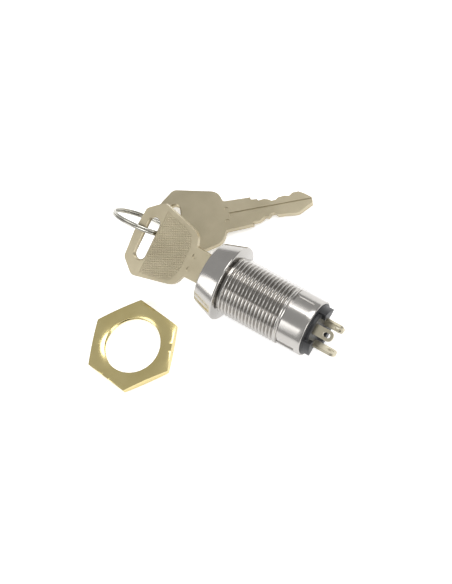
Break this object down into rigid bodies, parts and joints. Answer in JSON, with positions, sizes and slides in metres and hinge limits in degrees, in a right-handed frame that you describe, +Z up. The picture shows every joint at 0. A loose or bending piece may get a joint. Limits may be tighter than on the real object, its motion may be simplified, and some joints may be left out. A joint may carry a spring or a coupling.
{
  "type": "key switch",
  "caption": "Key-operated selector switch with a threaded round barrel, solder lugs, inserted key, spare key on a split ring and a loose panel nut.",
  "frame": {"origin": "on the barrel's axis, in the plane of the bezel's rear face where it seats on the panel", "axes": "+Z up from the surface the pieces lie on; +Y along the barrel towards the solder lugs, in plan; the barrel's axis dips 6.3 degrees to the rear"},
  "size_m": [0.0683, 0.0717, 0.0204],
  "materials": {
    "chromed_zinc": "bright chrome plating on die-cast zinc",
    "nickel_plug": "turned brass, nickel plated",
    "zinc_plated_steel": "stamped, zinc plated",
    "spring_steel": "drawn and hardened",
    "black_phenolic": "moulded phenolic",
    "copper_contact": "stamped copper",
    "silver_contact": "silver rivet",
    "tinned_brass": "stamped brass, tinned",
    "wafer_brass": "stamped brass",
    "nickel_brass_key": "stamped nickel brass, brushed",
    "plated_ring": "nickel-plated spring wire",
    "polished_brass": "turned and polished"
  },
  "bodies": {
    "lock": {"barrel_housing": "chromed_zinc", "stop_pin": "zinc_plated_steel", "detent_leaf": "spring_steel", "contact_heads": "silver_contact", "terminal_base": "black_phenolic", "terminal_1": "tinned_brass", "terminal_2": "tinned_brass", "terminal_3": "tinned_brass"},
    "plug": {"plug": "nickel_plug", "stop_washer": "zinc_plated_steel", "retaining_clip": "spring_steel", "rotor": "black_phenolic", "contact_spring": "spring_steel", "contact_bridge": "copper_contact", "wafer_spring_1": "spring_steel", "wafer_spring_2": "spring_steel", "wafer_spring_3": "spring_steel", "wafer_spring_4": "spring_steel", "wafer_spring_5": "spring_steel"},
    "wafer_1_body": {"wafer_1": "wafer_brass"},
    "wafer_2_body": {"wafer_2": "wafer_brass"},
    "wafer_3_body": {"wafer_3": "wafer_brass"},
    "wafer_4_body": {"wafer_4": "wafer_brass"},
    "wafer_5_body": {"wafer_5": "wafer_brass"},
    "key": {"inserted_key": "nickel_brass_key"},
    "ring": {"split_ring": "plated_ring"},
    "spare": {"spare_key": "nickel_brass_key"},
    "nut": {"panel_nut": "polished_brass"}
  },
  "joints": [
    {"name": "plug_turn", "type": "hinge", "parent": "lock", "child": "plug", "pos_m": [0, 0, 0], "axis": [0, 0.9939, -0.1104], "range_deg": [0, 90]},
    {"name": "key_slide", "type": "slide", "parent": "plug", "child": "key", "axis": [0, -0.9939, 0.1104], "range_m": [0, 0.018]},
    {"name": "wafer_1_slide", "type": "slide", "parent": "plug", "child": "wafer_1_body", "axis": [0.9336, -0.0396, -0.3562], "range_m": [0, 0.0005]},
    {"name": "wafer_2_slide", "type": "slide", "parent": "plug", "child": "wafer_2_body", "axis": [-0.9336, 0.0396, 0.3562], "range_m": [0, 0.0005]},
    {"name": "wafer_3_slide", "type": "slide", "parent": "plug", "child": "wafer_3_body", "axis": [0.9336, -0.0396, -0.3562], "range_m": [0, 0.0005]},
    {"name": "wafer_4_slide", "type": "slide", "parent": "plug", "child": "wafer_4_body", "axis": [-0.9336, 0.0396, 0.3562], "range_m": [0, 0.0005]},
    {"name": "wafer_5_slide", "type": "slide", "parent": "plug", "child": "wafer_5_body", "axis": [0.9336, -0.0396, -0.3562], "range_m": [0, 0.0005]},
    {"name": "ring_swing", "type": "hinge", "parent": "key", "child": "ring", "pos_m": [-0.0044, -0.0313, -0.00191], "axis": [-0.8988, 0, 0.4384], "range_deg": [-25, 0]},
    {"name": "spare_swing", "type": "hinge", "parent": "ring", "child": "spare", "pos_m": [-0.00712, -0.02534, -0.00748], "axis": [0, 0, 1], "range_deg": [-3, 20]},
    {"name": "nut_lift", "type": "slide", "parent": "lock", "child": "nut", "axis": [0, 0, 1], "range_m": [0, 0.03]}
  ],
  "couplings": [
    {"joint": "wafer_1_slide", "follows": "key_slide", "ratio": 0.027778},
    {"joint": "wafer_2_slide", "follows": "key_slide", "ratio": 0.027778},
    {"joint": "wafer_3_slide", "follows": "key_slide", "ratio": 0.027778},
    {"joint": "wafer_4_slide", "follows": "key_slide", "ratio": 0.027778},
    {"joint": "wafer_5_slide", "follows": "key_slide", "ratio": 0.027778}
  ]
}
